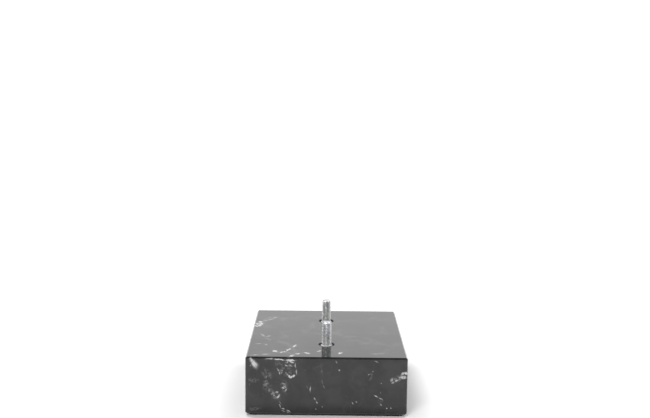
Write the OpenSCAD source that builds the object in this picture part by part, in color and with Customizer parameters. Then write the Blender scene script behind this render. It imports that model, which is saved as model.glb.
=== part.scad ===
// Display plinth for a small statuette: a polished stone block on a felt base,
// with two threaded studs that are drawn up by nuts in recesses in the underside.
// Origin: centre of the underside of the felt. +Z is up, the front faces -Y.

/* [Stone block] */
// Width of the block, left to right
block_w = 80; // [60:1:160]
// Depth of the block, front to back
block_d = 100; // [84:1:200]
// Thickness of the block
block_h = 29; // [20:0.5:60]
// Width of the flat eased off each edge of the block
arris = 0.9; // [0.4:0.1:3]
// Width of the flat eased off the rim of each hole
rim_ease = 0.4; // [0.2:0.1:0.8]

/* [Felt base] */
// Thickness of the felt
felt_t = 1; // [0.8:0.1:3]
// Distance from the block's side to the edge of the felt
felt_inset = 1.6; // [1:0.1:8]
// Radius of the felt's corners
felt_corner = 2; // [0.5:0.5:8]
// Distance the felt stands back from the rim of each recess
felt_back = 1; // [0.5:0.1:3]

/* [Studs] */
// Distance between the two studs, front to back
stud_spacing = 50; // [34:1:56]
// Diameter of the stud where it passes through the stone and the nut
stud_d = 6; // [5.5:0.5:7.5]
// Diameter over the thread of the upper end, which screws into the exhibit
end_d = 5; // [3:0.5:5]
// Height of the upper end above the block
stud_stand = 12; // [6:0.5:30]
// Distance from the top of the block down to the shoulder that stops against the exhibit
shoulder_below = 0.3; // [0.2:0.1:1]
// Length of stud left showing below the nut
stud_past_nut = 1.3; // [0.5:0.1:4]
// Chamfer on each end of the stud
stud_ease = 0.6; // [0.3:0.1:1]
// Wall of the sleeve that centres the stud and keeps it off the stone
sleeve_wall = 1; // [0.5:0.1:2]
// Distance from the top of the block down to the sleeve
sleeve_below = 0.8; // [0.5:0.1:3]

/* [Nuts and washers] */
// Distance across the flats of the nut
nut_af = 10; // [9:0.5:14]
// Height of the nut
nut_h = 5; // [3:0.1:8]
// Outside diameter of the split spring washer
spring_od = 11.8; // [10:0.1:15]
// Thickness of the spring washer when it is clamped flat
spring_t = 1.6; // [1:0.1:2.5]
// Width of the cut through the spring washer
spring_slit = 0.7; // [0.3:0.1:1.5]
// Outside diameter of the steel washer and of the rubber one behind it
washer_od = 18; // [14:0.5:24]
// Thickness of the steel washer
washer_t = 1.6; // [1:0.1:3]
// Thickness of the rubber washer that keeps the steel off the stone
rubber_t = 1.5; // [1:0.1:3]
// Radial gap between the stud and the washers
washer_gap = 0.2; // [0.1:0.05:0.4]
// Radial gap between the washers and the wall of the recess
recess_gap = 3; // [1:0.5:4]
// Distance from the end of the stud to the underside of the stone
end_gap = 1; // [0.5:0.1:5]

/* [Hidden] */
$fn = 96;
eps = 0.01;

FRONT = -1;
REAR = 1;

// Heights, from the shelf upwards
block_bottom = felt_t;
block_top = block_bottom + block_h;
recess_h = rubber_t + washer_t + spring_t + nut_h + stud_past_nut + end_gap;
recess_top = block_bottom + recess_h;
rubber_bottom = recess_top - rubber_t;
washer_bottom = rubber_bottom - washer_t;
spring_bottom = washer_bottom - spring_t;
nut_bottom = spring_bottom - nut_h;
stud_bottom = nut_bottom - stud_past_nut;
stud_shoulder = block_top - shoulder_below;
stud_top = block_top + stud_stand;

// Diameters that follow from what fits inside them
bore_d = stud_d + 2 * sleeve_wall;
recess_d = washer_od + 2 * recess_gap;
washer_id = stud_d + 2 * washer_gap;
felt_hole_d = recess_d + 2 * felt_back;

stone_black = [0.06, 0.06, 0.065];
felt_grey = [0.09, 0.09, 0.10];
zinc = [0.72, 0.73, 0.74];
spring_steel = [0.42, 0.42, 0.43];
rubber_black = [0.10, 0.10, 0.10];
nylon_black = [0.08, 0.08, 0.085];

// Places its children on the axis of one stud: side is FRONT or REAR.
module at_stud(side) {
    translate([0, side * stud_spacing / 2, 0]) children();
}

// Rectangle centred on the origin with its corners cut off at 45 degrees.
module eased_rectangle(a, b, c) {
    polygon([
        [-a / 2 + c, -b / 2], [a / 2 - c, -b / 2],
        [a / 2, -b / 2 + c], [a / 2, b / 2 - c],
        [a / 2 - c, b / 2], [-a / 2 + c, b / 2],
        [-a / 2, b / 2 - c], [-a / 2, -b / 2 + c]
    ]);
}

// Block centred on the origin with all twelve edges eased off by c.
module eased_block(w, d, h, c) {
    intersection() {
        translate([0, 0, -h / 2]) linear_extrude(h) eased_rectangle(w, d, c);
        rotate([90, 0, 0]) translate([0, 0, -d / 2]) linear_extrude(d) eased_rectangle(w, h, c);
        rotate([90, 0, 90]) translate([0, 0, -w / 2]) linear_extrude(w) eased_rectangle(d, h, c);
    }
}

// Flat ring standing on z = 0.
module ring(od, id, t) {
    difference() {
        cylinder(d = od, h = t);
        translate([0, 0, -eps]) cylinder(d = id, h = t + 2 * eps);
    }
}

// Stepped hole for one stud: a bore from the top, a recess from the underside, and eased rims.
module stud_hole() {
    translate([0, 0, block_bottom - eps]) cylinder(d = bore_d, h = block_h + 2 * eps);
    translate([0, 0, block_bottom - eps]) cylinder(d = recess_d, h = recess_h + eps);
    translate([0, 0, block_bottom - eps])
        cylinder(d1 = recess_d + 2 * (rim_ease + eps), d2 = recess_d, h = rim_ease + eps);
    translate([0, 0, block_top - rim_ease])
        cylinder(d1 = bore_d, d2 = bore_d + 2 * (rim_ease + eps), h = rim_ease + eps);
}

module stone_block() {
    color(stone_black)
    difference() {
        translate([0, 0, block_bottom + block_h / 2]) eased_block(block_w, block_d, block_h, arris);
        at_stud(FRONT) stud_hole();
        at_stud(REAR) stud_hole();
    }
}

// Plate with round corners of radius r, standing on z = 0.
module round_cornered_plate(w, d, t, r) {
    translate([-w / 2 + r, -d / 2, 0]) cube([w - 2 * r, d, t]);
    translate([-w / 2, -d / 2 + r, 0]) cube([w, d - 2 * r, t]);
    for (x = [-1, 1], y = [-1, 1])
        translate([x * (w / 2 - r), y * (d / 2 - r), 0]) cylinder(r = r, h = t);
}

module felt_base() {
    color(felt_grey)
    difference() {
        round_cornered_plate(block_w - 2 * felt_inset, block_d - 2 * felt_inset, felt_t, felt_corner);
        for (side = [FRONT, REAR])
            at_stud(side) translate([0, 0, -eps]) cylinder(d = felt_hole_d, h = felt_t + 2 * eps);
    }
}

// Shouldered stud: a thick shank that the nut draws down, and a thinner upper end.
module stud() {
    shank_r = stud_d / 2;
    end_r = end_d / 2;
    color(zinc)
    rotate_extrude()
        polygon([
            [0, stud_bottom], [shank_r - stud_ease, stud_bottom],
            [shank_r, stud_bottom + stud_ease], [shank_r, stud_shoulder],
            [end_r, stud_shoulder], [end_r, stud_top - stud_ease],
            [end_r - stud_ease, stud_top], [0, stud_top]
        ]);
}

// Tube that fills the gap between the stud and its bore, standing on the rubber washer.
module sleeve() {
    color(nylon_black)
    translate([0, 0, recess_top]) ring(bore_d, stud_d, block_top - sleeve_below - recess_top);
}

// Hexagon nut whose corners are turned off at 30 degrees on both faces.
module nut() {
    corner_r = nut_af / sqrt(3);
    face_r = nut_af / 2;
    drop = (corner_r - face_r) * tan(30);
    color(zinc)
    translate([0, 0, nut_bottom])
    difference() {
        intersection() {
            rotate([0, 0, 30]) cylinder(r = corner_r, h = nut_h, $fn = 6);
            rotate_extrude()
                polygon([
                    [0, 0], [face_r, 0], [corner_r, drop],
                    [corner_r, nut_h - drop], [face_r, nut_h], [0, nut_h]
                ]);
        }
        translate([0, 0, -eps]) cylinder(d = stud_d, h = nut_h + 2 * eps);
    }
}

// Spring washer clamped flat, with its slanting cut.
module spring_washer() {
    color(spring_steel)
    translate([0, 0, spring_bottom])
    difference() {
        ring(spring_od, washer_id, spring_t);
        translate([spring_od / 4 + washer_id / 4, 0, spring_t / 2])
            rotate([25, 0, 0]) cube([spring_od, spring_slit, 3 * spring_t], center = true);
    }
}

module steel_washer() {
    color(zinc)
    translate([0, 0, washer_bottom]) ring(washer_od, washer_id, washer_t);
}

module rubber_washer() {
    color(rubber_black)
    translate([0, 0, rubber_bottom]) ring(washer_od, washer_id, rubber_t);
}

stone_block();
felt_base();
at_stud(FRONT) stud();  // front_stud
at_stud(REAR) stud();  // rear_stud
at_stud(FRONT) sleeve();  // front_sleeve
at_stud(REAR) sleeve();  // rear_sleeve
at_stud(FRONT) nut();  // front_nut
at_stud(REAR) nut();  // rear_nut
at_stud(FRONT) spring_washer();  // front_spring_washer
at_stud(REAR) spring_washer();  // rear_spring_washer
at_stud(FRONT) steel_washer();  // front_steel_washer
at_stud(REAR) steel_washer();  // rear_steel_washer
at_stud(FRONT) rubber_washer();  // front_rubber_washer
at_stud(REAR) rubber_washer();  // rear_rubber_washer
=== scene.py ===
"""Looks of the display plinth: a polished marble block on felt, with two shouldered studs.

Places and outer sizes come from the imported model, so each piece lies where its part does. What
its boxes can't tell, such as an eased edge, is a field of the assembly, with the part's own value.
Lengths are in metres, and MM turns a length in millimetres into metres.
"""
import logging
import math
from dataclasses import dataclass
from enum import Enum
from typing import Callable, Sequence, Union

import bmesh
import bpy
import numpy as np
from mathutils import Matrix, Vector


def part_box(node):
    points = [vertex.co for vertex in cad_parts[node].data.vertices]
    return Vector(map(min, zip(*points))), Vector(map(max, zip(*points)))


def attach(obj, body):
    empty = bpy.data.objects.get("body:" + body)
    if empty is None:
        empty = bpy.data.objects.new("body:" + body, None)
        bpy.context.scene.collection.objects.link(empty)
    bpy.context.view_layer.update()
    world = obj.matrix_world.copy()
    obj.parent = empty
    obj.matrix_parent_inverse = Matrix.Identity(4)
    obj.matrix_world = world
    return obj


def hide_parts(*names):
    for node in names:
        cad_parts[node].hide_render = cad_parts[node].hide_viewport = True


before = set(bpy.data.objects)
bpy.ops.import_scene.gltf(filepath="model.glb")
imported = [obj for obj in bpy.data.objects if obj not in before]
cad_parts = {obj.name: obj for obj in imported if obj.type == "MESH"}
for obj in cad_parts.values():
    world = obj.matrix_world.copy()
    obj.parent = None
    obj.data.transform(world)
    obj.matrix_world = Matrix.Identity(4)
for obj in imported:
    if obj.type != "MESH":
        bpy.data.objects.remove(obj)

Array = np.ndarray
Colour = tuple[float, float, float]
Operand = Union["Wire", float, Sequence[float]]

MM = 0.001
WELD = 0.001 * MM
ROOT = "root"

log = logging.getLogger("plinth")


# ---------------------------------------------------------------- shader nodes


class Wire:
    """One output of a node, with arithmetic that adds Math nodes."""

    def __init__(self, net: "Net", socket: bpy.types.NodeSocket) -> None:
        """Keep the net and the output socket that the wire starts from."""
        self.net = net
        self.socket = socket

    def math(self, operation: str, *operands: Operand, clamp: bool = False) -> "Wire":
        """Apply a Math node to this wire.

        Args:
            operation: the Math node's operation.
            operands: its second and third values.
            clamp: whether the result is held between 0 and 1.

        Returns:
            The node's result.
        """
        sockets = dict(enumerate((self, *operands)))
        settings = {"operation": operation, "use_clamp": clamp}
        return self.net.node("ShaderNodeMath", settings, sockets)

    def __add__(self, other: Operand) -> "Wire":
        """Return self + other."""
        return self.math("ADD", other)

    def __radd__(self, other: float) -> "Wire":
        """Return other + self."""
        return self.math("ADD", other)

    def __sub__(self, other: Operand) -> "Wire":
        """Return self - other."""
        return self.math("SUBTRACT", other)

    def __rsub__(self, other: float) -> "Wire":
        """Return other - self."""
        return self.math("MULTIPLY_ADD", -1.0, other)

    def __mul__(self, other: Operand) -> "Wire":
        """Return self * other."""
        return self.math("MULTIPLY", other)

    def __rmul__(self, other: float) -> "Wire":
        """Return other * self."""
        return self.math("MULTIPLY", other)

    def __abs__(self) -> "Wire":
        """Return the size of self without its sign."""
        return self.math("ABSOLUTE")

    def larger(self, other: Operand) -> "Wire":
        """Return the larger of self and other."""
        return self.math("MAXIMUM", other)

    def clamped(self) -> "Wire":
        """Return self held between 0 and 1."""
        return self.math("ADD", 0.0, clamp=True)

    def step(self, low: float, high: float, full: float = 1.0) -> "Wire":
        """Ease from 0 at low to full at high; low may be the larger.

        Args:
            low: the value that gives 0.
            high: the value that gives the full amount.
            full: the full amount.

        Returns:
            The eased value.
        """
        start, end = (0.0, full) if low < high else (full, 0.0)
        sockets = {"Value": self, "From Min": min(low, high), "From Max": max(low, high)}
        sockets |= {"To Min": start, "To Max": end}
        settings = {"interpolation_type": "SMOOTHSTEP", "clamp": False}
        return self.net.node("ShaderNodeMapRange", settings, sockets)


class Net:
    """The nodes of one material or of the world."""

    def __init__(self, tree: bpy.types.NodeTree) -> None:
        """Start from an empty tree."""
        self.tree = tree
        tree.nodes.clear()

    def node(self, kind: str, settings: dict | None = None, sockets: dict | None = None,
             output: int | str = 0) -> Wire:
        """Add any node.

        Args:
            kind: the node's type.
            settings: its properties, which are set before its sockets.
            sockets: its inputs by name or number, each a value or a wire.
            output: the output to return.

        Returns:
            The chosen output.
        """
        made = self.tree.nodes.new(kind)
        for name, value in (settings or {}).items():
            setattr(made, name, value)
        for name, value in (sockets or {}).items():
            if isinstance(value, Wire):
                self.tree.links.new(value.socket, made.inputs[name])
            else:
                made.inputs[name].default_value = value
        return Wire(self, made.outputs[output]) if made.outputs else Wire(self, None)

    def vector(self, operation: str, *operands: Operand, scale: float = 1.0) -> Wire:
        """Add a Vector Math node.

        Args:
            operation: its operation.
            operands: its vectors.
            scale: the factor of a SCALE operation.

        Returns:
            The vector that it makes.
        """
        sockets = dict(enumerate(operands))
        if operation == "SCALE":
            sockets["Scale"] = scale
        return self.node("ShaderNodeVectorMath", {"operation": operation}, sockets)

    def place(self) -> Wire:
        """Return the place on the piece in millimetres, from Object coordinates."""
        metres = self.node("ShaderNodeTexCoord", output="Object")
        return self.vector("SCALE", metres, scale=1.0 / MM)

    def coordinate(self, place: Wire, axis: int) -> Wire:
        """Return one coordinate of a place: 0 for x, 1 for y and 2 for z."""
        return self.node("ShaderNodeSeparateXYZ", sockets={0: place}, output=axis)

    def noise(self, place: Wire, size: float, detail: float = 2.0, rough: float = 0.5,
              colour: bool = False) -> Wire:
        """Add noise from 0 to 1 with blobs of a size in millimetres, or three such as a colour."""
        sockets = {"Vector": place, "Scale": 1.0 / size, "Detail": detail, "Roughness": rough}
        return self.node("ShaderNodeTexNoise", {"noise_dimensions": "3D"}, sockets, int(colour))

    def warped(self, place: Wire, size: float, amount: float, detail: float = 2.0) -> Wire:
        """Push a place about with noise of a size, by up to an amount, both in millimetres."""
        push = self.vector("SUBTRACT", self.noise(place, size, detail, colour=True), (0.5, 0.5, 0.5))
        return self.vector("MULTIPLY_ADD", push, (2 * amount,) * 3, place)

    def cells(self, place: Wire, size: float, feature: str, output: str = "Distance") -> Wire:
        """Add cells of a size in millimetres: their distance in cell sizes, or another output."""
        sockets = {"Vector": place, "Scale": 1.0 / size}
        return self.node("ShaderNodeTexVoronoi", {"feature": feature}, sockets, output)

    def blend(self, share: Operand, first: Operand, second: Operand) -> Wire:
        """Mix two colours.

        Args:
            share: how much of the second colour there is.
            first: the first colour.
            second: the second colour.

        Returns:
            The mixed colour.
        """
        first, second = (c if isinstance(c, Wire) else (*c, 1.0) for c in (first, second))
        settings = {"data_type": "RGBA", "clamp_factor": True}
        return self.node("ShaderNodeMix", settings, {0: share, 6: first, 7: second}, 2)

    def bump(self, height: Wire, depth: float, strength: float = 1.0) -> Wire:
        """Turn a height, of which 1 stands for a depth in metres, into a normal."""
        sockets = {"Height": height, "Distance": depth, "Strength": strength}
        return self.node("ShaderNodeBump", sockets=sockets)


# -------------------------------------------------------------------- finishes


@dataclass(frozen=True)
class Finish:
    """A finish, the record's slot that it is for, and the material that it makes."""

    name: str
    slot: str

    def material(self) -> bpy.types.Material:
        """Return the material of this finish, made the first time that it is asked for.

        Returns:
            The material.
        """
        made = bpy.data.materials.get(self.name)
        if made is None:
            made = bpy.data.materials.new(self.name)
            made.use_nodes = True
            net = Net(made.node_tree)
            shader = net.node("ShaderNodeBsdfPrincipled", sockets=self.sockets(net))
            net.node("ShaderNodeOutputMaterial", sockets={"Surface": shader})
        return made

    def sockets(self, net: Net) -> dict:
        """Return the Principled shader's inputs, as values and wires by the name of the input."""
        raise NotImplementedError


class Face(Enum):
    """A polished face that has veins of its own."""

    FRONT = "front"
    TOP = "top"


@dataclass(frozen=True)
class Vein:
    """One vein drawn on a face: a line through a few points, as wide as stated.

    Points are in millimetres: x and height on the front, x and y on the top.
    """

    face: Face
    width: float
    strength: float
    points: tuple[tuple[float, float], ...]
    reach: float = 4.0


def veins(face: Face, *rows: tuple) -> tuple[Vein, ...]:
    """Make the veins of one face, each from a width, a strength and its points."""
    return tuple(Vein(face, width, strength, points) for width, strength, *points in rows)


# Bright, broken veins that read as drawn lines.
LINES = veins(
    Face.FRONT,
    (1.3, 0.85, (-37.7, 29.0), (-36.2, 27.8)),
    (2.2, 0.85, (-36.6, 28.2), (-34.2, 24.6)),
    (0.35, 0.7, (-31.0, 29.2), (-25.0, 28.9)),
    (0.45, 0.95, (-27.5, 28.9), (-18.5, 28.7)),
    (0.6, 1.0, (-21.5, 28.6), (-14.2, 28.5)),
    (0.5, 0.9, (-18.8, 28.1), (-15.6, 27.4)),
    (0.45, 0.7, (-21.0, 26.1), (-18.6, 25.6), (-16.5, 25.5)),
    (0.45, 0.7, (-15.5, 28.0), (-15.0, 24.0), (-14.5, 20.8)),
    (0.75, 1.0, (-18.9, 20.9), (-17.8, 19.8), (-16.8, 20.3), (-15.2, 20.7)),
    (0.55, 0.75, (-24.4, 24.5), (-23.2, 22.6), (-22.9, 21.2)),
    (0.5, 0.8, (-20.2, 22.2), (-18.6, 20.9)),
    (0.45, 0.6, (-21.5, 22.6), (-22.3, 21.3)),
    (0.55, 0.7, (-19.2, 14.2), (-20.8, 12.3)),
    (0.45, 0.6, (-22.0, 16.8), (-19.6, 16.4)),
    (0.6, 0.8, (-25.6, 12.4), (-23.6, 12.2)),
    (0.6, 0.8, (-22.9, 11.4), (-24.4, 8.8)),
    (0.5, 0.7, (-26.4, 10.2), (-25.0, 10.6)),
    (0.35, 0.8, (-23.2, 6.4), (-22.6, 4.2), (-20.0, 3.4), (-17.0, 1.6)),
    (0.3, 0.7, (-22.4, 2.9), (-19.6, 2.4), (-18.2, 1.4)),
    (0.3, 0.5, (-23.3, 8.2), (-21.9, 5.4)),
    (0.4, 0.8, (-7.9, 15.8), (-7.9, 12.2)),
    (0.4, 0.8, (-6.3, 9.7), (-5.0, 8.2), (-4.3, 6.2)),
    (0.5, 0.6, (-4.8, 4.2), (-4.9, 3.6)),
    (0.35, 0.6, (-2.1, 5.8), (-2.1, 4.6)),
    (0.3, 0.35, (-2.3, 23.6), (-2.3, 22.4)),
    (0.3, 0.35, (-10.0, 16.1), (-9.1, 13.8)),
    (0.3, 0.4, (-2.2, 19.0), (-1.7, 16.4), (-0.5, 13.9)),
    (0.75, 0.75, (6.1, 23.8), (6.4, 23.7)),
    (0.45, 0.55, (4.2, 28.4), (5.4, 27.1)),
    (0.4, 0.5, (23.4, 23.4), (22.4, 23.1)),
    (0.45, 0.6, (21.4, 21.6), (20.8, 21.3)),
    (0.3, 0.35, (22.6, 21.0), (20.8, 18.5)),
    (0.5, 0.6, (23.5, 28.8), (25.4, 27.8)),
    (1.1, 0.75, (31.6, 18.6), (32.6, 19.6)),
    (0.9, 0.7, (31.9, 17.2), (33.6, 18.2), (36.0, 19.6)),
    (1.1, 0.9, (36.4, 20.6), (39.8, 20.2)),
    (1.1, 0.9, (36.6, 21.6), (38.2, 22.6), (39.9, 22.2)),
    (0.45, 0.8, (23.2, 11.4), (25.6, 9.8), (28.0, 8.6)),
    (0.5, 0.7, (26.4, 6.9), (27.3, 5.9)),
    (0.45, 0.8, (30.0, 4.6), (30.4, 4.3)),
    (0.45, 0.7, (31.7, 4.9), (32.2, 4.5)),
    (0.4, 0.8, (12.7, 7.3), (13.2, 6.1)),
    (0.35, 0.6, (14.6, 8.0), (15.5, 7.5)),
) + veins(
    Face.TOP,
    (1.7, 1.0, (-39.4, 13.6), (-37.8, 10.4), (-36.0, 14.0), (-36.0, 19.0), (-37.4, 22.6)),
    (1.6, 1.0, (-38.8, 18.4), (-37.6, 14.6)),
    (1.5, 0.6, (-36.1, 22.0), (-32.8, 24.8), (-29.8, 28.9), (-28.1, 33.0)),
    (0.9, 0.6, (-35.6, -2.9), (-32.1, -12.1), (-29.3, -7.4)),
    (0.8, 0.5, (-32.7, -12.1), (-28.8, -18.8)),
    (0.8, 0.6, (-37.7, -25.9), (-32.5, -24.6), (-30.3, -27.8)),
    (1.2, 0.6, (-37.9, -47.0), (-33.0, -45.2), (-27.5, -44.6)),
    (0.6, 0.45, (27.4, 2.1), (33.0, 3.6)),
    (1.0, 0.45, (20.7, -42.8), (31.4, -41.3)),
    (0.8, 1.0, (-20.6, -40.0), (-17.4, -32.0), (-15.0, -25.5)),
    (1.7, 1.0, (-27.2, -37.2), (-24.2, -41.0)),
    (1.1, 0.9, (-23.2, -42.4), (-21.8, -40.0), (-20.2, -39.4)),
    (1.1, 1.0, (-18.8, -49.6), (-16.2, -44.6), (-12.8, -42.6)),
    (1.6, 1.0, (-11.8, -40.6), (-8.2, -43.2)),
    (1.1, 0.8, (-5.3, -39.8), (-2.4, -36.2)),
    (1.3, 0.9, (0.4, -29.4), (1.6, -27.4)),
    (1.3, 1.0, (5.8, -43.6), (8.2, -39.6)),
)

# Wide, faint patches in which the stone is full of pale crumbs.
CLOUDS = veins(
    Face.FRONT,
    (2.6, 0.7, (-31.0, 24.0), (-27.4, 18.0)),
    (1.8, 0.6, (-38.0, 18.2), (-33.5, 18.0)),
    (1.2, 0.6, (-33.8, 17.8), (-27.7, 17.6)),
    (2.8, 0.8, (-30.4, 17.0), (-27.2, 12.5), (-23.5, 9.5)),
    (2.8, 0.9, (-24.8, 27.0), (-15.2, 26.8)),
    (3.2, 0.9, (-22.5, 23.5), (-16.5, 22.0)),
    (2.4, 1.0, (-21.4, 18.0), (-19.5, 12.0)),
    (1.8, 0.9, (-25.6, 9.0), (-23.8, 12.6)),
    (1.4, 0.5, (-38.3, 3.1), (-32.0, 4.2)),
    (2.0, 0.9, (32.6, 18.4), (39.0, 21.2)),
    (1.6, 0.5, (22.5, 22.0), (21.0, 19.0)),
    (1.6, 0.4, (26.8, 6.4), (28.0, 8.0)),
) + veins(
    Face.TOP,
    (4.0, 1.0, (-37.4, 12.0), (-36.0, 24.0), (-29.0, 34.0)),
    (2.4, 0.5, (-33.0, 28.0), (-26.0, 38.0)),
    (3.0, 0.7, (-25.0, -41.0), (-12.0, -42.5)),
)


@dataclass(frozen=True)
class Marble(Finish):
    """Black marble with white veins, either polished or as the saw and drill left it."""

    front: float
    top: float
    polished: bool = True
    dark: Colour = (0.014, 0.014, 0.0143)
    pale: Colour = (0.026, 0.026, 0.0264)
    vein_grey: Colour = (0.16, 0.16, 0.162)
    vein_white: Colour = (0.58, 0.58, 0.575)
    sawn: Colour = (0.10, 0.10, 0.102)
    refraction: float = 1.5

    def drawn(self, net: Net, places: dict[Face, Wire], rows: Sequence[Vein]) -> Wire:
        """Draw veins as rows of long, thin lens shapes in the stone.

        Each straight run of a vein is an ellipsoid. Its own frame turns it into a unit sphere, in
        which a round gradient falls from 1 at the centre to 0 at the surface. The amount is full up
        to a quarter of the way out, and nothing at the surface. The strongest run wins.

        Args:
            net: the nodes to add to.
            places: the warped place to draw each face's veins in, in millimetres.
            rows: the veins.

        Returns:
            How much vein there is, from 0 to 1.
        """
        total = net.node("ShaderNodeValue")
        for vein in rows:
            for start, end in zip(vein.points, vein.points[1:]):
                sockets = self.lens(vein, start, end) | {"Vector": places[vein.face]}
                local = net.node("ShaderNodeMapping", {"vector_type": "TEXTURE"}, sockets)
                round_gradient = {"gradient_type": "SPHERICAL"}
                ball = net.node("ShaderNodeTexGradient", round_gradient, {"Vector": local}, 1)
                total = total.larger(ball.step(0.0, 0.75, vein.strength))
        return total

    def lens(self, vein: Vein, start: tuple[float, float], end: tuple[float, float]) -> dict:
        """Return the place, turn and size of one run of a vein.

        Args:
            vein: the vein.
            start: the run's first point on the face, in millimetres.
            end: its last point.

        Returns:
            The inputs of the node that takes a place into the run's own frame.
        """
        middle = [(low + high) / 2 for low, high in zip(start, end)]
        across, along = end[0] - start[0], end[1] - start[1]
        half = math.hypot(across, along) / 2 + 0.7 * vein.width
        if vein.face is Face.FRONT:
            centre, turn = (middle[0], self.front, middle[1]), (0.0, -math.atan2(along, across), 0.0)
            return {"Location": centre, "Rotation": turn, "Scale": (half, vein.reach, vein.width)}
        centre, turn = (*middle, self.top), (0.0, 0.0, math.atan2(along, across))
        return {"Location": centre, "Rotation": turn, "Scale": (half, vein.width, vein.reach)}

    def network(self, net: Net, place: Wire, fine: Wire, crumbs: Wire) -> Wire:
        """Draw the veins that run all through the stone.

        There are broken bands with a halo of crumbs where a folded noise crosses its middle, hair
        cracks along the edges of warped cells, and a few lone specks. The bands grow strong away
        from the two faces that have drawn veins.

        Args:
            net: the nodes to add to.
            place: the place, in millimetres.
            fine: the place, pushed about a little.
            crumbs: fine noise.

        Returns:
            How much vein there is, from 0 to 1.
        """
        depth, height = net.coordinate(place, 1), net.coordinate(place, 2)
        behind = depth.step(self.front + 2.0, self.front + 16.0)
        inside = behind * height.step(self.top + 3.0, self.top - 6.0)
        fold = abs(net.noise(net.warped(place, 21.0, 11.0, 2.0), 30.0, 3.0, 0.55) - 0.5)
        patchy = net.noise(place, 14.0, 1.0).step(0.42, 0.62)
        bands = fold.step(0.030, 0.004) * crumbs.step(0.34, 0.58)
        halo = fold.step(0.10, 0.0) * crumbs.step(0.54, 0.74, 0.6)
        bands = bands.larger(halo) * patchy * (0.02 + 0.98 * inside)

        cracks = net.cells(net.warped(place, 9.0, 3.5, 2.0), 15.0, "DISTANCE_TO_EDGE")
        hairs = cracks.step(0.016, 0.003, 0.35) * net.noise(place, 6.0, 2.0).step(0.50, 0.68)
        hairs = hairs * (0.2 + 0.8 * inside)
        rare = net.node("ShaderNodeSeparateColor", sockets={0: net.cells(fine, 3.4, "F1", "Color")})
        specks = net.cells(fine, 3.4, "F1").step(0.13, 0.05, 0.55) * rare.step(0.80, 0.95)
        return bands.larger(hairs).larger(specks)

    def sockets(self, net: Net) -> dict:
        """Return the shader's inputs: dark, smoky stone, its veins, and the polish or the saw marks.

        Args:
            net: the nodes to add to.

        Returns:
            Values and wires by the name of the input.
        """
        place = net.place()
        fine = net.warped(place, 2.6, 0.9, 3.0)
        crumbs = net.noise(place, 1.3, 4.0, 0.65)
        vein = self.network(net, place, fine, crumbs)
        if self.polished:
            places = {Face.FRONT: fine, Face.TOP: net.warped(fine, 1.5, 1.5, 4.0)}
            vein = vein.larger(self.drawn(net, places, LINES) * (0.3 + crumbs.step(0.26, 0.50, 0.7)))
            vein = vein.larger(self.drawn(net, places, CLOUDS) * crumbs.step(0.44, 0.70, 0.85))
        smoky = net.noise(net.warped(place, 8.0, 4.0), 11.0, 4.0, 0.6)
        stone = net.blend(smoky.step(0.36, 0.68), self.dark, self.pale)
        white = net.blend(vein.step(0.25, 0.95), self.vein_grey, self.vein_white)
        colour = net.blend(vein.math("POWER", 0.8), stone, white)
        if not self.polished:
            return self.unpolished(net, place, colour, crumbs)

        # Polish: hand marks, hairlines, and veins that take it a little less well than the black.
        hands = net.noise(place, 17.0, 3.0)
        rough = 0.045 + 0.05 * hands.step(0.40, 0.70) + 0.07 * vein + self.hairlines(net, place)
        peel = net.noise(place, 3.0, 2.0)
        return {
            "Base Color": colour,
            "Roughness": rough,
            "IOR": self.refraction,
            "Normal": net.bump(peel, 0.004 * MM, 0.6),
        }

    def hairlines(self, net: Net, place: Wire) -> Wire:
        """Scatter the hairline scratches that dusting leaves: fine noise, drawn out two ways.

        Args:
            net: the nodes to add to.
            place: the place in millimetres.

        Returns:
            How much rougher the scratches are than the polish.
        """
        total = net.node("ShaderNodeValue")
        for turn in (0.4, 2.1):
            settings = {"rotation_type": "AXIS_ANGLE"}
            sockets = {"Vector": place, "Axis": (0.5, 0.5, 0.7), "Angle": turn}
            turned = net.node("ShaderNodeVectorRotate", settings, sockets)
            drawn_out = net.vector("MULTIPLY", turned, (0.03, 1.0, 1.0))
            total = total.larger(net.noise(drawn_out, 0.3, 1.0).step(0.66, 0.78, 0.09))
        return total * net.noise(place, 12.0, 1.0).step(0.40, 0.60)

    def unpolished(self, net: Net, place: Wire, colour: Wire, crumbs: Wire) -> dict:
        """Return the inputs for stone as the saw and the core drill leave it: grey, dull and lined.

        Args:
            net: the nodes to add to.
            place: the place in millimetres.
            colour: the polished stone's colour.
            crumbs: fine noise.

        Returns:
            Values and wires by the name of the input.
        """
        sweep = net.node("ShaderNodeTexWave", {"wave_type": "BANDS", "bands_direction": "DIAGONAL"},
                         {"Vector": place, "Scale": 0.35, "Distortion": 1.5, "Detail": 2.0}, 1)
        dusty = net.blend(0.55 + 0.25 * crumbs, colour, self.sawn)
        return {
            "Base Color": dusty,
            "Roughness": 0.62 + 0.2 * crumbs,
            "IOR": self.refraction,
            "Normal": net.bump(0.5 * sweep + crumbs, 0.05 * MM, 0.7),
        }


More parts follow.
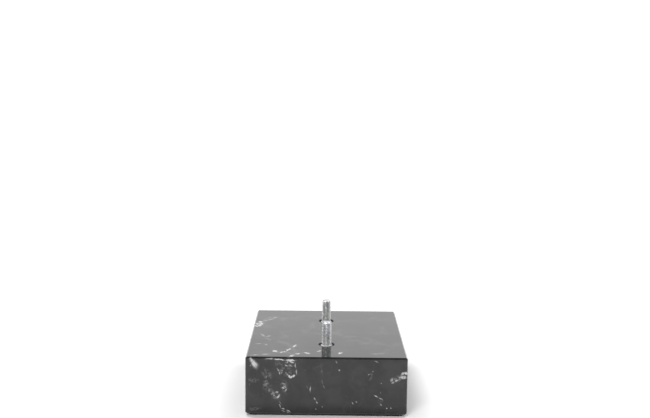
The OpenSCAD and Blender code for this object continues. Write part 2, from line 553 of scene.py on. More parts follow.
@dataclass(frozen=True)
class Felt(Finish):
    """Pressed wool felt: a mat of fine fibres that lie every way."""

    dark: Colour = (0.006, 0.006, 0.0065)
    light: Colour = (0.11, 0.109, 0.114)

    def sockets(self, net: Net) -> dict:
        """Return the shader's inputs: crossed sets of stretched, warped noise as fibres.

        Args:
            net: the nodes to add to.

        Returns:
            Values and wires by the name of the input.
        """
        place = net.warped(net.place(), 1.6, 0.8, 2.0)
        fibres = None
        for turn in (0.3, 1.3, 2.4):
            settings = {"rotation_type": "Z_AXIS"}
            turned = net.node("ShaderNodeVectorRotate", settings, {"Vector": place, "Angle": turn})
            drawn_out = net.vector("MULTIPLY", turned, (0.16, 1.0, 1.0))
            layer = net.noise(drawn_out, 0.16, 2.0, 0.6)
            fibres = layer if fibres is None else fibres.larger(layer)
        mottled = net.noise(net.place(), 5.0, 3.0)
        shade = (fibres.step(0.45, 0.80) * 0.75 + 0.35 * mottled.step(0.35, 0.7)).clamped()
        return {
            "Base Color": net.blend(shade, self.dark, self.light),
            "Roughness": 0.90 + 0.08 * mottled,
            "Sheen Weight": 0.08,
            "Sheen Roughness": 0.6,
            "Specular IOR Level": 0.2,
            "Normal": net.bump(fibres + 0.6 * mottled, 0.18 * MM, 0.9),
        }


@dataclass(frozen=True)
class Metal(Finish):
    """Plated or oiled steel, turned or stamped, with a finish that clouds a little."""

    dark: Colour
    light: Colour
    tint: Colour
    smooth: float
    rough: float

    def sockets(self, net: Net) -> dict:
        """Return the shader's inputs: cloudy plating with a faint tint and fine tool marks.

        Args:
            net: the nodes to add to.

        Returns:
            Values and wires by the name of the input.
        """
        place = net.place()
        cloud = net.noise(net.warped(place, 3.0, 1.5), 2.2, 4.0, 0.6)
        grain = net.noise(net.vector("MULTIPLY", place, (1.0, 1.0, 7.0)), 0.45, 3.0, 0.6)
        plated = net.blend(cloud.step(0.30, 0.70), self.dark, self.light)
        tinted = net.blend(net.noise(place, 4.0, 2.0).step(0.45, 0.75) * 0.5, plated, self.tint)
        return {
            "Base Color": tinted,
            "Metallic": 1.0,
            "Roughness": self.smooth + (self.rough - self.smooth) * (0.6 * cloud + 0.4 * grain),
            "Normal": net.bump(grain, 0.012 * MM, 0.6),
        }


@dataclass(frozen=True)
class Polymer(Finish):
    """Rubber or nylon: a dull black moulding with a fine skin."""

    dark: Colour
    light: Colour
    rough: float
    relief: float

    def sockets(self, net: Net) -> dict:
        """Return the shader's inputs: a slightly clouded black with a fine, even relief.

        Args:
            net: the nodes to add to.

        Returns:
            Values and wires by the name of the input.
        """
        place = net.place()
        bloom = net.noise(place, 3.5, 4.0, 0.6)
        skin = net.noise(place, 0.35, 3.0, 0.6)
        return {
            "Base Color": net.blend(bloom.step(0.35, 0.75), self.dark, self.light),
            "Roughness": self.rough + 0.12 * (bloom - 0.5) + 0.08 * (skin - 0.5),
            "Normal": net.bump(skin, self.relief, 0.8),
        }


@dataclass(frozen=True)
class Paper(Finish):
    """The pale studio floor."""

    white: Colour = (0.90, 0.90, 0.90)

    def sockets(self, net: Net) -> dict:
        """Return the shader's inputs: an even, matt white with the faintest mottle.

        Args:
            net: the nodes to add to.

        Returns:
            Values and wires by the name of the input.
        """
        mottle = net.noise(net.place(), 90.0, 3.0).step(0.2, 0.8)
        cooler = tuple(0.99 * value for value in self.white)
        return {
            "Base Color": net.blend(mottle, self.white, cooler),
            "Roughness": 0.85,
            "Specular IOR Level": 0.2,
        }


ZINC = Metal(
    "bright_zinc", "zinc_plate", dark=(0.50, 0.51, 0.53), light=(0.74, 0.75, 0.77),
    tint=(0.66, 0.66, 0.58), smooth=0.20, rough=0.42,
)
SPRING_STEEL = Metal(
    "oiled_steel", "spring_steel", dark=(0.10, 0.10, 0.105), light=(0.24, 0.24, 0.25),
    tint=(0.20, 0.16, 0.12), smooth=0.30, rough=0.50,
)
RUBBER = Polymer(
    "black_rubber", "rubber", dark=(0.012, 0.012, 0.012), light=(0.034, 0.034, 0.035),
    rough=0.78, relief=0.03 * MM,
)
NYLON = Polymer(
    "black_nylon", "nylon", dark=(0.014, 0.014, 0.015), light=(0.026, 0.026, 0.028),
    rough=0.42, relief=0.01 * MM,
)
FELT = Felt("pressed_felt", "felt")


# ---------------------------------------------------------------------- shapes


class Shape:
    """A closed mesh gathered from grids of points."""

    def __init__(self) -> None:
        """Start with no points and no faces."""
        self.points: list[Array] = []
        self.quads: list[Array] = []
        self.slots: list[Array] = []
        self.smooth: list[Array] = []
        self.count = 0

    def grid(self, points: Array, around: bool = False, slot: int = 0, smooth: bool = True) -> None:
        """Add a grid of points, joined by quads.

        Args:
            points: an array of rows by columns by 3.
            around: whether the last column joins the first.
            slot: the material slot of its faces.
            smooth: whether its faces are shaded as one curved surface.
        """
        rows, columns = points.shape[:2]
        number = self.count + np.arange(rows * columns).reshape(rows, columns)
        if around:
            number = np.concatenate([number, number[:, :1]], axis=1)
        corners = (number[:-1, :-1], number[:-1, 1:], number[1:, 1:], number[1:, :-1])
        quads = np.stack(corners, axis=-1).reshape(-1, 4)
        self.points.append(points.reshape(-1, 3))
        self.quads.append(quads)
        self.slots.append(np.full(len(quads), slot))
        self.smooth.append(np.full(len(quads), smooth))
        self.count += rows * columns

    def mirrored(self) -> None:
        """Add a copy of everything so far, mirrored front to back."""
        points, quads = np.concatenate(self.points), np.concatenate(self.quads)
        self.points.append(points * (1.0, -1.0, 1.0))
        self.quads.append(quads + self.count)
        self.slots += list(self.slots)
        self.smooth += list(self.smooth)
        self.count *= 2

    def build(self, name: str, finishes: Sequence[Finish]) -> bpy.types.Object:
        """Make the mesh, weld its seams and poles, and turn every face outwards.

        Args:
            name: the piece's name.
            finishes: the finish of each material slot.

        Returns:
            The piece, at the origin.
        """
        mesh = bpy.data.meshes.new(name)
        mesh.from_pydata(np.concatenate(self.points).tolist(), [], np.concatenate(self.quads).tolist())
        mesh.polygons.foreach_set("material_index", np.concatenate(self.slots).astype(np.int32))
        mesh.polygons.foreach_set("use_smooth", np.concatenate(self.smooth))
        for finish in finishes:
            mesh.materials.append(finish.material())
        welded = bmesh.new()
        welded.from_mesh(mesh)
        bmesh.ops.remove_doubles(welded, verts=welded.verts, dist=WELD)
        bmesh.ops.recalc_face_normals(welded, faces=welded.faces)
        welded.to_mesh(mesh)
        welded.free()
        piece = bpy.data.objects.new(name, mesh)
        bpy.context.scene.collection.objects.link(piece)
        return piece


def eased_turn(size: float, straight: float, count: int) -> Array:
    """Turn a right angle inside a square, as an eased edge does.

    The heading rises evenly to 45 degrees, holds for a share of the way, and rises evenly to 90
    degrees. Adding up its cosine and sine along the way gives the points.

    Args:
        size: the side of the square.
        straight: the share of the way that is straight, from 0 for a round corner.
        count: the number of points.

    Returns:
        The points, as distances along the first and the second heading.
    """
    way = np.linspace(0.0, 1.0, count)
    bend = (1.0 - straight) / 2
    heading = (np.clip(way / bend, 0, 1) + np.clip((way - bend - straight) / bend, 0, 1)) * math.pi / 4
    tangent = np.stack([np.cos(heading), np.sin(heading)], axis=1)
    points = np.concatenate([np.zeros((1, 2)), np.cumsum((tangent[1:] + tangent[:-1]) / 2, axis=0)])
    return points * size / points[-1, 0]


@dataclass(frozen=True)
class HalfPlan:
    """The front half of a rectangular plate with a round hole, seen from above.

    The outline runs down the left side, along the front and up the right side. Its other half is
    its mirror image, so the back of this half is open.
    """

    width: float
    depth: float
    corner: float
    straight: float
    hole_y: float
    step: float
    narrowing: float = 0.85
    turn_points: int = 15

    def outline(self, inset: float) -> Array:
        """Return the points of the outline, moved inwards.

        Two eased turns join three straight runs. A turn gets smaller as the outline moves in, so
        that it never crosses itself.

        Args:
            inset: how far the outline is moved inwards.

        Returns:
            Rows of x and y.
        """
        half, front = self.width / 2 - inset, inset - self.depth / 2
        corner = self.corner - self.narrowing * inset
        turn = eased_turn(corner, self.straight, self.turn_points)
        side = np.linspace(0.0, 1.0, math.ceil(self.depth / 2 / self.step), endpoint=False)
        front_run = np.linspace(-1.0, 1.0, math.ceil(self.width / self.step), endpoint=False)
        down = np.stack([np.full_like(side, -half), side * (front + corner)], axis=1)
        into_front = np.stack([turn[:, 1] - half, front + corner - turn[:, 0]], axis=1)
        along = np.stack([front_run * (half - corner), np.full_like(front_run, front)], axis=1)[1:]
        left = np.concatenate([down, into_front])
        return np.concatenate([left, along, left[::-1] * (-1.0, 1.0)])

    def loop(self, inset: float) -> Array:
        """Return the closed loop round the half plate's flat.

        The points along the open back lie three steps apart.

        Args:
            inset: how far the outline is moved inwards.

        Returns:
            The outline's points and then the points along the open back.
        """
        edge = self.outline(inset)
        back = np.linspace(edge[-1], edge[0], math.ceil(self.width / (3 * self.step)))[1:-1]
        return np.concatenate([edge, back])

    def circle(self, radius: float, height: float) -> Array:
        """Return points round the hole, each on the line from its centre to a point of the loop.

        Args:
            radius: the circle's radius.
            height: its height.

        Returns:
            The points.
        """
        centre = np.array([0.0, self.hole_y])
        away = self.loop(0.0) - centre
        ring = centre + radius * away / np.linalg.norm(away, axis=1, keepdims=True)
        return np.concatenate([ring, np.full((len(ring), 1), height)], axis=1)

    def flat(self, inset: float, radius: float, height: float, shares: Array) -> Array:
        """Return rows of points from the hole's rim out to the inset outline.

        Each row is the rim's points moved towards the outline's by one share of the way.

        Args:
            inset: how far the outline is moved inwards.
            radius: the rim's radius.
            height: the height of the flat.
            shares: how far out each row is, from 0 at the rim to 1 at the outline.

        Returns:
            An array of rows by columns by 3.
        """
        edge = self.loop(inset)
        rim = self.circle(radius, height)[None]
        out = np.concatenate([edge, np.full((len(edge), 1), height)], axis=1)[None]
        return rim + (out - rim) * shares[:, None, None]

    def wall(self, section: Array) -> Array:
        """Carry a section, as rows of an inset and a height, along the outline."""
        return np.stack([np.insert(self.outline(inset), 2, height, axis=1) for inset, height in section])


def edge_section(low: float, high: float, ease: float, straight: float, count: int,
                 side_rows: int = 9) -> Array:
    """Return the section of a plate's edge, from its top flat round to its underside.

    It is an eased turn outwards and down, a straight side, and an eased turn inwards.

    Args:
        low: the height of the underside.
        high: the height of the top.
        ease: how far in each eased edge reaches.
        straight: the straight share of each eased edge.
        count: the number of points on each eased edge.
        side_rows: the number of points down the side, with its two ends.

    Returns:
        Rows of an inset and a height.
    """
    turn = eased_turn(ease, straight, count)
    top = np.stack([ease - turn[:, 0], high - turn[:, 1]], axis=1)
    side = np.linspace(high - ease, low + ease, side_rows)[1:-1]
    side = np.stack([np.zeros_like(side), side], axis=1)
    bottom = np.stack([turn[:, 1], low + ease - turn[:, 0]], axis=1)
    return np.concatenate([top, side, bottom])


def turned(section: Array, centre_y: float, segments: int, radius: Callable | None = None) -> Array:
    """Turn a section round a stud's axis.

    Args:
        section: rows of a radius and a height.
        centre_y: the axis's place, front to back.
        segments: the number of points round it.
        radius: changes the radius from the angle, the radius and the height, as whole arrays.

    Returns:
        An array of the section's rows by the segments by 3.
    """
    angle = np.linspace(0.0, 2 * math.pi, segments, endpoint=False)[None]
    around, height = np.broadcast_arrays(section[:, :1], section[:, 1:])
    around = np.repeat(around, segments, axis=1)
    height = np.repeat(height, segments, axis=1)
    if radius is not None:
        around = radius(angle, around, height)
    return np.stack([around * np.cos(angle), centre_y + around * np.sin(angle), height], axis=2)


def rounded(corners: Sequence[tuple[float, float]], ease: float, count: int = 5,
            closed: bool = True) -> Array:
    """Round every corner of a section.

    Each corner becomes a curve from a point on one side, drawn towards the corner, to a point on
    the other: (1-t)^2 A + 2t(1-t) C + t^2 B.

    Args:
        corners: the section's corners, as a radius and a height.
        ease: how far back from a corner its curve starts.
        count: the number of points on each curve.
        closed: whether the last corner joins the first. An open section keeps its two ends.

    Returns:
        The section's points.
    """
    points = np.array(corners, dtype=float)
    before, after = np.roll(points, 1, axis=0), np.roll(points, -1, axis=0)
    ends = []
    for other in (before, after):
        side = other - points
        length = np.linalg.norm(side, axis=1, keepdims=True)
        ends.append(points + side * np.minimum(ease / length, 0.5))
    t = np.linspace(0.0, 1.0, count)[None, :, None]
    start, end = ends[0][:, None], ends[1][:, None]
    curve = (1 - t) ** 2 * start + 2 * t * (1 - t) * points[:, None] + t ** 2 * end
    if closed:
        return curve.reshape(-1, 2)
    return np.concatenate([points[:1], curve[1:-1].reshape(-1, 2), points[-1:]])


@dataclass(frozen=True)
class Thread:
    """A screw thread: a groove of sixty degrees that climbs one pitch a turn."""

    diameter: float
    pitch: float
    low: float
    high: float
    depth_share: float = 0.6134
    crest: float = 1 / 8
    root: float = 1 / 4
    run_out: float = 1.5
    rows_a_pitch: int = 12

    def radius(self, angle: Array, height: Array) -> Array:
        """Return the radius to which the groove is cut.

        The place in the pitch is the fractional part of height over pitch, less the turn. Its
        distance from the middle of the groove gives the depth: full over the root, none over the
        crest, and a little rounded between. The depth fades over the run-out at each end.

        Args:
            angle: the angle round the axis.
            height: the height.

        Returns:
            The radius.
        """
        place = np.mod(height / self.pitch - angle / (2 * math.pi), 1.0)
        off = np.abs(2 * place - 1)
        cut = np.clip((1 - self.crest - off) / (1 - self.crest - self.root), 0.0, 1.0)
        cut = 0.5 * cut + 0.5 * cut * cut * (3 - 2 * cut)
        fade = self.run_out * self.pitch
        inside = np.clip((height - self.low) / fade, 0, 1) * np.clip((self.high - height) / fade, 0, 1)
        return self.diameter / 2 - self.depth_share * self.pitch * cut * inside

    def heights(self, start: float, end: float) -> Array:
        """Return the heights of the rows that show the thread from start to end."""
        return np.linspace(start, end, math.ceil(self.rows_a_pitch * abs(end - start) / self.pitch))


# ----------------------------------------------------------------- assemblies


def centre_y(node: str) -> float:
    """Return the middle of a part's box, front to back."""
    low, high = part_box(node)
    return (low[1] + high[1]) / 2


def half_width(node: str) -> float:
    """Return half the width of a part's box, left to right."""
    low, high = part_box(node)
    return (high[0] - low[0]) / 2


def finished(piece: bpy.types.Object, node: str) -> bpy.types.Object:
    """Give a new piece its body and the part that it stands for.

    Args:
        piece: the new piece.
        node: the part that it replaces.

    Returns:
        The piece.
    """
    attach(piece, ROOT)
    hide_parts(node)
    triangles = sum(len(face.vertices) - 2 for face in piece.data.polygons)
    log.info("%s stands for %s, %d triangles", piece.name, node, triangles)
    return piece


@dataclass
class StoneBlock:
    """The marble block, with its eased edges, and the stepped holes for the studs.

    Rows of a flat are shares of the way out. The sizes and depths of nicks are in millimetres.
    """

    arris: float = 0.9 * MM
    arris_straight: float = 0.6
    arris_points: int = 11
    corner_straight: float = 0.3
    rim_ease: float = 0.4 * MM
    rim_straight: float = 0.4
    rim_points: int = 7
    drill_fillet: float = 0.5 * MM
    fillet_points: int = 6
    wall_rows: int = 6
    recess_gap: float = 3.0 * MM
    step: float = 0.4 * MM
    flat_rows: tuple[float, ...] = (0.0, 0.02, 0.1, 0.3, 0.5, 0.7, 0.9, 0.97, 0.995, 1.0)
    nicks: int = 26
    nick_sizes: tuple[float, float] = (0.25, 0.6)
    nick_depths: tuple[float, float] = (0.04, 0.13)
    seed: int = 7

    def plan(self) -> HalfPlan:
        """Return the front half of the block, seen from above.

        Returns:
            The half plan.
        """
        low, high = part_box("stone_block")
        width, depth = high[0] - low[0], high[1] - low[1]
        centre = centre_y("front_stud")
        return HalfPlan(width, depth, self.arris, self.corner_straight, centre, self.step)

    def build(self) -> bpy.types.Object:
        """Make the block as grids: two flats, the outer edge, and the hole with its step.

        Returns:
            The block.
        """
        low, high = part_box("stone_block")
        bottom, top = low[2], high[2]
        plan, shape = self.plan(), Shape()
        bore = half_width("front_sleeve")
        recess = half_width("front_steel_washer") + self.recess_gap
        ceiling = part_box("front_sleeve")[0][2]

        shares = np.array(self.flat_rows)
        rim = eased_turn(self.rim_ease, self.rim_straight, self.rim_points)
        lip = [(bore + self.rim_ease - x, top - y) for x, y in rim]
        foot = [(recess + y, bottom + self.rim_ease - x) for x, y in rim]
        fillet = self.drill_fillet
        turn = eased_turn(fillet, 0.0, self.fillet_points)
        corner = [(recess - fillet + x, ceiling - y) for x, y in turn]
        bore_wall = np.linspace(top - 2 * self.rim_ease, ceiling, self.wall_rows)
        recess_wall = np.linspace(bottom + self.rim_ease, ceiling - fillet, self.wall_rows)[::-1]

        flat = {"around": True, "smooth": False}
        shape.grid(plan.flat(self.arris, bore + self.rim_ease, top, shares), **flat)
        shape.grid(self.bored(plan, lip), True)
        shape.grid(self.bored(plan, [lip[-1], *((bore, z) for z in bore_wall)]), True, slot=1)
        shape.grid(self.bored(plan, [(bore, ceiling), corner[0]]), slot=1, **flat)
        shape.grid(self.bored(plan, corner + [(recess, z) for z in recess_wall[1:]]), True, slot=1)
        shape.grid(self.bored(plan, foot), True, slot=1)
        shape.grid(plan.flat(self.arris, recess + self.rim_ease, bottom, shares), slot=1, **flat)

        section = edge_section(bottom, top, self.arris, self.arris_straight, self.arris_points)
        edge = plan.wall(section)
        shape.grid(self.nicked(edge, plan.outline(0.0) - plan.outline(self.arris)))
        shape.mirrored()
        faces = {"front": low[1] / MM, "top": high[2] / MM}
        polish = Marble("polished_marble", "stone", **faces)
        sawn = Marble("sawn_marble", "stone", **faces, polished=False)
        return finished(shape.build("marble_block", (polish, sawn)), "stone_block")

    def bored(self, plan: HalfPlan, section: Sequence[tuple[float, float]]) -> Array:
        """Return the points round the hole at each radius and height of a section."""
        return np.stack([plan.circle(radius, height) for radius, height in section])

    def nicked(self, edge: Array, outwards: Array) -> Array:
        """Press tiny nicks into the eased edges, as handling leaves them.

        Each nick lies near the middle of an eased edge and moves the points near it inwards on the
        diagonal by depth * exp(-(distance / size)^2). None lies near the block's open back. The
        push fades out over the last three rows at the top and at the bottom, which meet the flats.

        Args:
            edge: the points of the outer edge, as rows by columns by 3.
            outwards: the way out from each column, flat.

        Returns:
            The points with nicks.
        """
        random = np.random.default_rng(self.seed)
        last, columns = edge.shape[0] - 1, edge.shape[1]
        rows = random.choice([4, 5, last - 4], self.nicks)
        margin = columns // 20
        spots = edge[rows, random.integers(margin, columns - margin, self.nicks)]
        sizes = random.uniform(*self.nick_sizes, self.nicks) * MM
        depths = random.uniform(*self.nick_depths, self.nicks) * MM
        away = np.linalg.norm(edge[:, :, None] - spots, axis=3)
        press = (depths * np.exp(-((away / sizes) ** 2))).sum(axis=2)
        row = np.arange(last + 1)
        press *= np.clip(np.minimum(row, last - row) / 3, 0.0, 1.0)[:, None]
        flat = outwards / np.linalg.norm(outwards, axis=1, keepdims=True) / math.sqrt(2)
        moved = edge.copy()
        moved[:, :, :2] -= flat * press[:, :, None]
        moved[:, :, 2] -= np.where(row < last / 2, 1.0, -1.0)[:, None] / math.sqrt(2) * press
        return moved


@dataclass
class FeltBase:
    """The felt under the block, cut round the two recesses.

    The turns of a wave are in radians a millimetre.
    """

    corner: float = 2.0 * MM
    hole: float = 13.0 * MM
    step: float = 0.8 * MM
    flat_rows: tuple[float, ...] = (0.0, 0.03, 0.1, 0.2, 0.3, 0.4, 0.5, 0.6, 0.7, 0.8, 0.9, 0.97, 1.0)
    ease: float = 0.3 * MM
    ease_points: int = 5
    ragged: float = 0.10 * MM
    waves: int = 4
    wave_turns: tuple[float, float] = (0.8, 4.0)
    seed: int = 3

    def build(self) -> bpy.types.Object:
        """Make the sheet as two flats, the cut edge and the cut holes.

        Returns:
            The felt.
        """
        low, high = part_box("felt_base")
        size = high - low
        plan = HalfPlan(size[0], size[1], self.corner, 0.0, centre_y("front_stud"), self.step)
        shape = Shape()
        shares = np.array(self.flat_rows)
        for height in (low[2], high[2]):
            rows = plan.flat(self.ease, self.hole + self.ease, height, shares)
            shape.grid(rows, around=True, smooth=False)
        section = edge_section(low[2], high[2], self.ease, 0.0, self.ease_points)
        shape.grid(self.frayed(plan.wall(section)))
        rings = [plan.circle(self.hole + inset, height) for inset, height in section]
        shape.grid(self.frayed(np.stack(rings)), True)
        shape.mirrored()
        piece = finished(shape.build("felt_sheet", (FELT,)), "felt_base")
        area = size[0] * size[1] - (4 - math.pi) * self.corner ** 2 - 2 * math.pi * self.hole ** 2
        return piece

    def frayed(self, rim: Array) -> Array:
        """Make a cut edge a little uneven.

        Each point moves towards the sheet's middle by the sum of a few waves along x and y, with
        random directions and phases, which is nothing at the edge's first and last rows.

        Args:
            rim: the points of a cut edge.

        Returns:
            The moved points.
        """
        random = np.random.default_rng(self.seed)
        size = (self.waves, 2)
        waves = random.uniform(*self.wave_turns, size) * random.choice([-1.0, 1.0], size) / MM
        phases = random.uniform(0.0, 2 * math.pi, self.waves)
        height = np.linspace(0.0, math.pi, rim.shape[0])[:, None]
        swing = np.sin(rim[:, :, :2] @ waves.T + phases).sum(axis=2) / self.waves
        push = self.ragged * np.sin(height) ** 2 * (0.5 + 0.5 * swing)
        flat = rim[:, :, :2] / np.linalg.norm(rim[:, :, :2], axis=2, keepdims=True)
        moved = rim.copy()
        moved[:, :, :2] -= flat * push[:, :, None]
        return moved


class Side(Enum):
    """Which of the two fixings."""

    FRONT = "front"
    REAR = "rear"


@dataclass
class Fixing:
    """One stud with its sleeve, nut and washers.

    The nut's face is a share of its flats. The cone that turns off its corners and the slant of the
    spring washer's cut are in degrees.
    """

    side: Side
    shank_pitch: float = 1.0 * MM
    end_pitch: float = 0.8 * MM
    thread_above_nut: float = 6.5 * MM
    thread_play: float = 0.05 * MM
    countersink: float = 0.25 * MM
    nut_face: float = 0.96
    nut_cone: float = 30.0
    chamfer: float = 0.6 * MM
    stud_ease: float = 0.12 * MM
    shoulder_below: float = 0.3 * MM
    shank: float = 6.0 * MM
    end: float = 5.0 * MM
    sleeve_ease: float = 0.15 * MM
    washer_gap: float = 0.2 * MM
    stamped_roll: float = 0.25 * MM
    stamped_ease: float = 0.12 * MM
    rubber_bulge: float = 0.25 * MM
    rubber_squeeze: float = 0.08 * MM
    spring_keystone: float = 0.06 * MM
    spring_ease: float = 0.22 * MM
    slit: float = 0.7 * MM
    slant: float = 25.0
    segments: int = 72
    bar_segments: int = 96

    def box(self, part: str) -> tuple[Vector, Vector]:
        """Return the box of one part of this fixing."""
        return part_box(f"{self.side.value}_{part}")

    def middle(self) -> float:
        """Return the place of the stud's axis, front to back."""
        return centre_y(f"{self.side.value}_stud")

    def radius(self, part: str) -> float:
        """Return the outside radius of one part of this fixing."""
        return half_width(f"{self.side.value}_{part}")

    def build(self) -> list[bpy.types.Object]:
        """Make every piece of the fixing.

        Returns:
            The pieces, from the stud down to the rubber washer.
        """
        return [
            self.stud(),
            self.sleeve(),
            self.nut(),
            self.spring_washer(),
            self.steel_washer(),
            self.rubber_washer(),
        ]

    def put(self, shape: Shape, name: str, part: str, finish: Finish) -> bpy.types.Object:
        """Make one piece of the fixing from its shape, and name the part that it stands for."""
        piece = shape.build(f"{self.side.value}_{name}", (finish,))
        return finished(piece, f"{self.side.value}_{part}")

    def ring(self, section: Array, name: str, part: str, finish: Finish) -> bpy.types.Object:
        """Turn a closed section round the stud's axis and finish the piece.

        Args:
            section: the section's points, once round.
            name: what the piece is called, after the side.
            part: the part that it stands for.
            finish: its finish.

        Returns:
            The piece.
        """
        shape = Shape()
        closed = np.concatenate([section, section[:1]])
        shape.grid(turned(closed, self.middle(), self.segments), True)
        return self.put(shape, name, part, finish)

    def stud(self) -> bpy.types.Object:
        """Make the stud: a turned blank with a thread cut into each end.

        The radius at each point is the smaller of the blank's and the thread's.

        Returns:
            The stud.
        """
        low, high = self.box("stud")
        bottom, top = low[2], high[2]
        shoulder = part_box("stone_block")[1][2] - self.shoulder_below
        thread_top = self.box("nut")[1][2] + self.thread_above_nut
        lower = Thread(self.shank, self.shank_pitch, bottom - 2 * self.shank_pitch, thread_top)
        start = shoulder - 0.5 * self.end_pitch
        upper = Thread(self.end, self.end_pitch, start, top + 2 * self.end_pitch)
        shank, end = self.shank / 2, self.end / 2
        blank = [
            (0.0, bottom),
            (shank - self.chamfer, bottom),
            (shank, bottom + self.chamfer),
            (shank, shoulder),
            (end, shoulder),
            (end, top - self.chamfer),
            (end - self.chamfer, top),
            (0.0, top),
        ]
        outline = rounded(blank, self.stud_ease, count=4, closed=False)
        rows = [thread.heights(thread.low, thread.high) for thread in (lower, upper)]
        inner = [heights[(heights > bottom) & (heights < top)] for heights in rows]
        levels = np.unique(np.concatenate([outline[:, 1], *inner]))
        section = self.along(outline, levels)

        def cut(angle: Array, around: Array, height: Array) -> Array:
            """Keep the smaller of the blank's radius and the thread's.

            Args:
                angle: the angle round the axis.
                around: the blank's radius.
                height: the height.

            Returns:
                The radius.
            """
            on_shank = height < shoulder - 0.01 * MM
            thread = np.where(on_shank, lower.radius(angle, height), upper.radius(angle, height))
            return np.minimum(around, thread)

        shape = Shape()
        shape.grid(turned(section, self.middle(), self.segments, cut), True)
        return self.put(shape, "stud_threaded", "stud", ZINC)

    def along(self, outline: Array, levels: Array) -> Array:
        """Add rows to an outline at the given heights.

        Args:
            outline: rows of a radius and a height, rising.
            levels: the heights to add.

        Returns:
            The outline with a row at each height, its flats kept.
        """
        extra = levels[~np.isin(levels, outline[:, 1])]
        radius = np.interp(extra, outline[:, 1], outline[:, 0])
        place = np.searchsorted(outline[:, 1], extra)
        return np.insert(outline, place, np.stack([radius, extra], axis=1), axis=0)

    def sleeve(self) -> bpy.types.Object:
        """Make the sleeve: a tube whose ends were cut and deburred.

        Returns:
            The sleeve.
        """
        low, high = self.box("sleeve")
        outer, inner = self.radius("sleeve"), self.shank / 2
        corners = [(inner, low[2]), (outer, low[2]), (outer, high[2]), (inner, high[2])]
        return self.ring(rounded(corners, self.sleeve_ease), "sleeve_tube", "sleeve", NYLON)

    def steel_washer(self) -> bpy.types.Object:
        """Make the steel washer: stamped, so its lower edge is rounded and its upper one is sharp.

        Returns:
            The washer.
        """
        low, high = self.box("steel_washer")
        outer, inner = self.radius("steel_washer"), self.shank / 2 + self.washer_gap
        roll = self.stamped_roll
        corners = [
            (inner, low[2] + roll),
            (inner + roll, low[2]),
            (outer - roll, low[2]),
            (outer, low[2] + roll),
            (outer, high[2]),
            (inner, high[2]),
        ]
        section = rounded(corners, self.stamped_ease, count=6)
        return self.ring(section, "washer_stamped", "steel_washer", ZINC)

    def rubber_washer(self) -> bpy.types.Object:
        """Make the rubber washer: its outer wall bulges where the nut squeezes it.

        The wall's radius is the washer's less the bulge times the square of the height's distance
        from the middle, which is 1 at either face. The hole's wall is squeezed inwards alike.

        Returns:
            The washer.
        """
        low, high = self.box("rubber_washer")
        outer, inner = self.radius("rubber_washer"), self.shank / 2 + self.washer_gap
        share = np.linspace(-1.0, 1.0, 11)
        middle, half = (low[2] + high[2]) / 2, (high[2] - low[2]) / 2
        wall = np.stack([outer - self.rubber_bulge * share ** 2, middle + half * share], axis=1)
        hole = np.stack([inner + self.rubber_squeeze * share ** 2, middle - half * share], axis=1)
        section = np.concatenate([wall, hole])
        return self.ring(section, "washer_rubber", "rubber_washer", RUBBER)

    def spring_washer(self) -> bpy.types.Object:
        """Make the spring washer: a bar bent round, whose two ends are cut on a slant.

        The angle of each point is a share of the way from one cut to the other, and each cut's
        angle shifts with the height by its slant.

        Returns:
            The washer.
        """
        low, high = self.box("spring_washer")
        outer, inner = self.radius("spring_washer"), self.shank / 2 + self.washer_gap
        middle_height = (low[2] + high[2]) / 2
        keystone = self.spring_keystone
        corners = [
            (inner, low[2] + keystone),
            (outer, low[2]),
            (outer, high[2]),
            (inner, high[2] - keystone),
        ]
        section = rounded(corners, self.spring_ease, count=6)
        section = np.concatenate([section, section[:1]])
        radius, height = section[:, :1], section[:, 1:]
        way = np.linspace(0.0, 1.0, self.bar_segments + 1)[None]
        slant = math.radians(self.slant)
        lean = -(height - middle_height) * math.tan(slant) / radius
        gap = self.slit / math.cos(slant) / radius
        angle = lean + gap / 2 + (2 * math.pi - gap) * way
        across, along = radius * np.cos(angle), self.middle() + radius * np.sin(angle)
        bar = np.stack([across, along, height + 0 * angle], axis=2)
        shape = Shape()
        shape.grid(bar)
        for end in (bar[:, 0], bar[:, -1]):
            centre = end[:-1].mean(axis=0)
            rows = [end, 0.5 * (end + centre), np.repeat(centre[None], len(end), axis=0)]
            shape.grid(np.stack(rows), smooth=False)
        return self.put(shape, "washer_split", "spring_washer", SPRING_STEEL)

    def nut(self) -> bpy.types.Object:
        """Make the nut: a hexagon turned off at its corners, with a countersunk thread.

        Outside, the radius is the smaller of the hexagon's, half the flats over the cosine of the
        angle from the nearest flat's middle, and a cone's of 30 degrees. Inside, it is the larger
        of the thread's and the countersink's.

        Returns:
            The nut.
        """
        low, high = self.box("nut")
        bottom, top = low[2], high[2]
        half_flats = self.radius("nut")
        slope = math.tan(math.radians(self.nut_cone))
        face = self.nut_face * half_flats
        drop = (half_flats / math.cos(math.pi / 6) - face) * slope
        past = 2 * self.shank_pitch
        thread = Thread(self.shank + self.thread_play, self.shank_pitch, bottom - past, top + past)
        sink = self.shank / 2 + self.countersink
        edge = np.linspace(0.0, drop, 10)
        body = np.linspace(drop, top - bottom - drop, 5)[1:-1]
        rises = np.concatenate([edge, body, top - bottom - edge[::-1]])
        outer = np.stack([np.full_like(rises, 2 * half_flats), bottom + rises], axis=1)
        face_rows = np.linspace(sink, face, 6)
        under = np.stack([face_rows, np.full_like(face_rows, bottom)], axis=1)
        over = np.stack([face_rows[::-1], np.full_like(face_rows, top)], axis=1)
        levels = thread.heights(top, bottom)
        bore = np.stack([np.zeros_like(levels), levels], axis=1)
        section = np.concatenate([under, outer[1:-1], over, bore[1:-1], under[:1]])

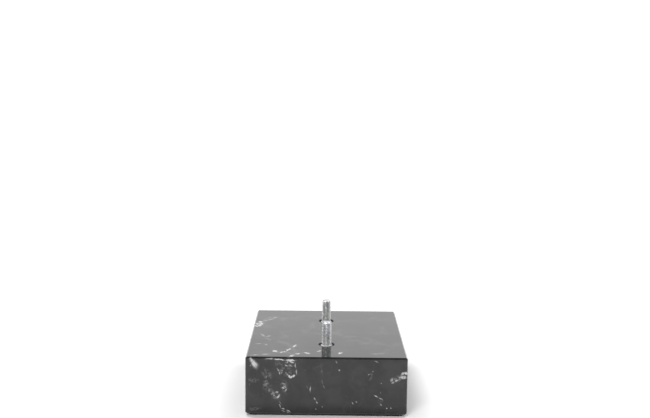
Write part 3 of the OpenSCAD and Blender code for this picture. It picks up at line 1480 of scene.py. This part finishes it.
        def cut(angle: Array, around: Array, height: Array) -> Array:
            """Return the hexagon's, the cone's or the thread's radius.

            The section marks the outside with twice half the flats and the bore with nothing.

            Args:
                angle: the angle round the axis.
                around: the section's radius.
                height: the height.

            Returns:
                The radius.
            """
            rise = np.minimum(height - bottom, top - height)
            flats = half_flats / np.cos(np.mod(angle + math.pi / 6, math.pi / 3) - math.pi / 6)
            outside = np.minimum(flats, face + rise / slope)
            inside = np.maximum(thread.radius(angle, height), sink - rise)
            return np.where(around > half_flats * 1.5, outside, np.where(around > 0, around, inside))

        shape = Shape()
        shape.grid(turned(section, self.middle(), 2 * self.segments, cut), True)
        return self.put(shape, "nut_hexagon", "nut", ZINC)


# ---------------------------------------------------------------------- studio


def direction(azimuth: float, elevation: float) -> Vector:
    """Return the way out from the plinth: (sin a cos e, -cos a cos e, sin e).

    Args:
        azimuth: the angle round from the front in degrees, right positive.
        elevation: the angle above the horizon in degrees.

    Returns:
        The unit vector.
    """
    turn, rise = math.radians(azimuth), math.radians(elevation)
    level = math.cos(rise)
    return Vector((math.sin(turn) * level, -math.cos(turn) * level, math.sin(rise)))


@dataclass
class Studio:
    """The pale floor, the soft light and the camera, whose angles are in degrees."""

    floor_half: float = 30.0
    floor_drop: float = 0.02 * MM
    horizon_light: float = 1.05
    overhead_light: float = 0.18
    lens: float = 58.18
    sensor: float = 36.0
    nearest: float = 0.01
    farthest: float = 200.0
    yaw: float = 0.17
    pitch: float = 7.81
    roll: float = -0.64
    eye: tuple[float, float, float] = (-3.1 * MM, -551.1 * MM, 172.4 * MM)

    def build(self) -> None:
        """Make the floor, the world, the lights and the camera."""
        self.floor()
        self.world()
        self.sun("left", 1.15, azimuth=-140, elevation=60, spread=30)
        self.sun("right", 1.05, azimuth=135, elevation=58, spread=30)
        self.sun("front", 1.2, azimuth=-24, elevation=48, spread=18)
        self.camera()
        bpy.context.scene.view_settings.view_transform = "Standard"

    def floor(self) -> None:
        """Make the floor, just below the felt's underside."""
        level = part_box("felt_base")[0][2] - self.floor_drop
        corners = np.array([[-1, -1], [1, -1], [1, 1], [-1, 1]]) * self.floor_half
        mesh = bpy.data.meshes.new("floor")
        mesh.from_pydata([(x, y, level) for x, y in corners], [], [(0, 1, 2, 3)])
        mesh.materials.append(Paper("studio_paper", "").material())
        floor = bpy.data.objects.new("floor", mesh)
        bpy.context.scene.collection.objects.link(floor)

    def world(self) -> None:
        """Light the scene from all round: bright near the horizon and dim overhead."""
        world = bpy.data.worlds.new("studio")
        world.use_nodes = True
        net = Net(world.node_tree)
        direction = net.node("ShaderNodeTexCoord", output="Generated")
        dim = net.coordinate(direction, 2).step(0.30, 0.80)
        strength = self.horizon_light + (self.overhead_light - self.horizon_light) * dim
        light = net.node("ShaderNodeBackground", sockets={"Color": (1, 1, 1, 1), "Strength": strength})
        net.node("ShaderNodeOutputWorld", sockets={"Surface": light})
        bpy.context.scene.world = world

    def sun(self, name: str, power: float, azimuth: float, elevation: float, spread: float) -> None:
        """Add a broad, soft light.

        Args:
            name: its name.
            power: its irradiance.
            azimuth: its direction round the plinth, in degrees from the front, right positive.
            elevation: its height above the horizon, in degrees.
            spread: how broad it looks, in degrees.
        """
        light = bpy.data.lights.new(name, "SUN")
        light.energy = power
        light.angle = math.radians(spread)
        lamp = bpy.data.objects.new(name, light)
        source = direction(azimuth, elevation)
        lamp.location = source
        lamp.rotation_euler = source.to_track_quat("Z", "Y").to_euler()
        bpy.context.scene.collection.objects.link(lamp)

    def camera(self) -> None:
        """Make the camera: in front, a little above, and rolled by less than a degree."""
        data = bpy.data.cameras.new("camera")
        data.lens = self.lens
        data.sensor_width = self.sensor
        data.clip_start = self.nearest
        data.clip_end = self.farthest
        camera = bpy.data.objects.new("camera", data)
        yaw, roll = math.radians(self.yaw), math.radians(self.roll)
        ahead = -direction(-self.yaw, self.pitch)
        level = Vector((math.cos(yaw), -math.sin(yaw), 0.0))
        down = ahead.cross(level)
        right = math.cos(roll) * level + math.sin(roll) * down
        up = math.sin(roll) * level - math.cos(roll) * down
        turn = Matrix((right, up, -ahead)).transposed()
        camera.matrix_world = Matrix.Translation(self.eye) @ turn.to_4x4()
        bpy.context.scene.collection.objects.link(camera)
        bpy.context.scene.camera = camera


def main() -> None:
    """Build every assembly in order."""
    logging.basicConfig(level=logging.INFO, format="%(name)s: %(message)s")
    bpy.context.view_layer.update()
    Studio().build()
    StoneBlock().build()
    FeltBase().build()
    for side in Side:
        Fixing(side).build()
    log.info("sizes written")


if __name__ == "__main__":
    main()
